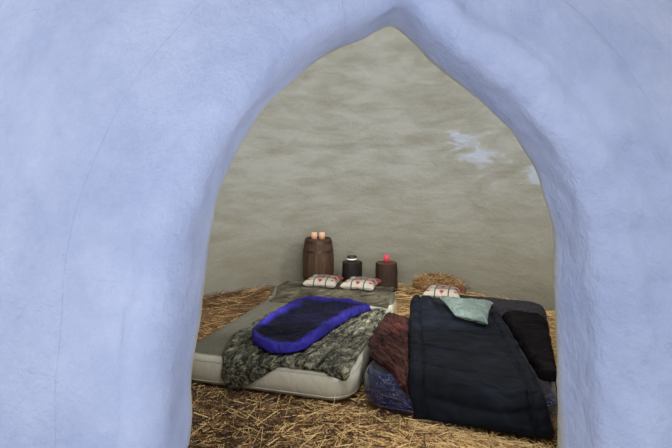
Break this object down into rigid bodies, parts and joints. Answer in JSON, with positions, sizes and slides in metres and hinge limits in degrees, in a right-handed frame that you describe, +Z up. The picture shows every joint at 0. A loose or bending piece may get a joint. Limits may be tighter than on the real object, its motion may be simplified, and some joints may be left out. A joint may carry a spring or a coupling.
{
  "type": "furnished snow igloo",
  "caption": "Walk-in snow dome with a pointed arched doorway, strawed floor and made-up air beds.",
  "frame": {"origin": "centre of the dome on the ground it stands on", "axes": "+Z up, the doorway towards -Y, +X to the right when looking in"},
  "size_m": [6.0996, 6.0998, 3.9994],
  "materials": {
    "snow": "packed snow, smoothed and glazed outside, rough inside",
    "floor_snow": "trodden packed snow",
    "straw": "loose cereal straw",
    "grey_vinyl": "flocked grey-green vinyl",
    "navy_vinyl": "flocked navy vinyl",
    "grey_cotton": "plain woven cotton, creased",
    "camouflage_nylon": "quilted nylon in a grey-green disruptive pattern",
    "violet_nylon": "smooth violet nylon",
    "rust_nylon": "smooth rust-brown nylon",
    "navy_nylon": "quilted navy nylon",
    "brown_nylon": "smooth dark brown nylon",
    "aqua_cotton": "plain pale aqua cotton",
    "printed_cotton": "cotton printed with plain squares in white, red and grey",
    "barrel_oak": "weathered oak staves",
    "hoop_iron": "dull rusted iron hoops",
    "bark": "dark rough bark",
    "pale_wood": "sawn pale wood with bark",
    "candle_glass": "coloured candle glasses"
  },
  "bodies": {
    "root": {"aqua_pillow": "aqua_cotton", "barrel": "barrel_oak", "barrel_hoops": "hoop_iron", "brown_bag": "brown_nylon", "camouflage_bag": "camouflage_nylon", "candles": "candle_glass", "cap_block": "snow", "cushions": "printed_cotton", "dark_stump": "bark", "first_course_1": "snow", "first_course_2": "snow", "first_course_3": "snow", "first_course_4": "snow", "first_course_5": "snow", "first_course_6": "snow", "fourth_course_1": "snow", "fourth_course_2": "snow", "fourth_course_3": "snow", "grey_sheet": "grey_cotton", "keystone": "snow", "left_air_bed": "grey_vinyl", "left_haunch": "snow", "left_jamb": "snow", "navy_quilt": "navy_nylon", "pale_stump": "pale_wood", "right_air_bed": "navy_vinyl", "right_haunch": "snow", "right_jamb": "snow", "rust_bag": "rust_nylon", "second_course_1": "snow", "second_course_2": "snow", "second_course_3": "snow", "second_course_4": "snow", "second_course_5": "snow", "second_course_6": "snow", "second_course_7": "snow", "snow_floor": "floor_snow", "straw_heap": "straw", "straw_layer": "straw", "third_course_1": "snow", "third_course_2": "snow", "third_course_3": "snow", "third_course_4": "snow", "third_course_5": "snow", "violet_bag": "violet_nylon"}
  },
  "joints": []
}
